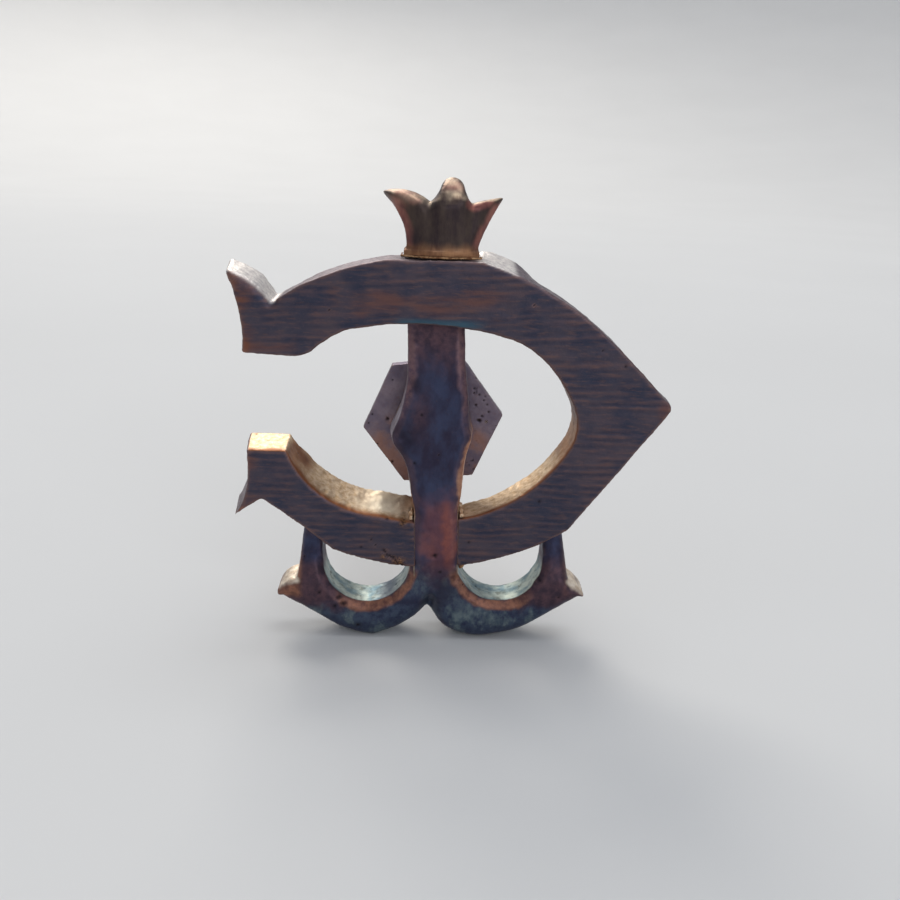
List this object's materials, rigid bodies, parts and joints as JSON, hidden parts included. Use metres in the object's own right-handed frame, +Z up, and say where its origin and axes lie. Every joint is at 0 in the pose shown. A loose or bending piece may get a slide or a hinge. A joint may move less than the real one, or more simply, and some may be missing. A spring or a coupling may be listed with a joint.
{
  "type": "cap badge",
  "caption": "Screw-fixed brass cap badge: a small coronet on an open ring, with an anchor laced through it and a threaded post and thin hexagonal nut behind.",
  "frame": {"origin": "on the axis of the threaded post, in the plane of the badge's back", "axes": "+Z up as the badge is worn, +Y backwards along the post towards the cap, +X towards the nose of the ring (the right as seen from the front)"},
  "size_m": [0.0271, 0.02, 0.0295],
  "materials": {
    "ring_brass": "ground face, aged brown",
    "anchor_brass": "cast, aged brown with copper-red wear",
    "coronet_brass": "cast, aged olive brown",
    "solder": "dull, lumpy",
    "post_brass": "satin, threaded",
    "washer_brass": "satin",
    "nut_brass": "satin, pitted"
  },
  "bodies": {
    "badge": {"open_ring": "ring_brass", "anchor": "anchor_brass", "coronet": "coronet_brass", "coronet_solder": "solder", "lap_solder": "solder", "post": "post_brass", "post_solder": "solder"},
    "washer": {"washer": "washer_brass"},
    "nut": {"hex_nut": "nut_brass"}
  },
  "joints": [
    {"name": "washer_slide", "type": "slide", "parent": "badge", "child": "washer", "axis": [0, 1, 0], "range_m": [0, 0.0155]},
    {"name": "nut_turn", "type": "hinge", "parent": "washer", "child": "nut", "pos_m": [0, 0.00165, 0], "axis": [0, 1, 0], "range_deg": [0, 11160]}
  ],
  "couplings": [
    {"joint": "nut_turn", "follows": "washer_slide", "rad_per_m": 12566}
  ]
}
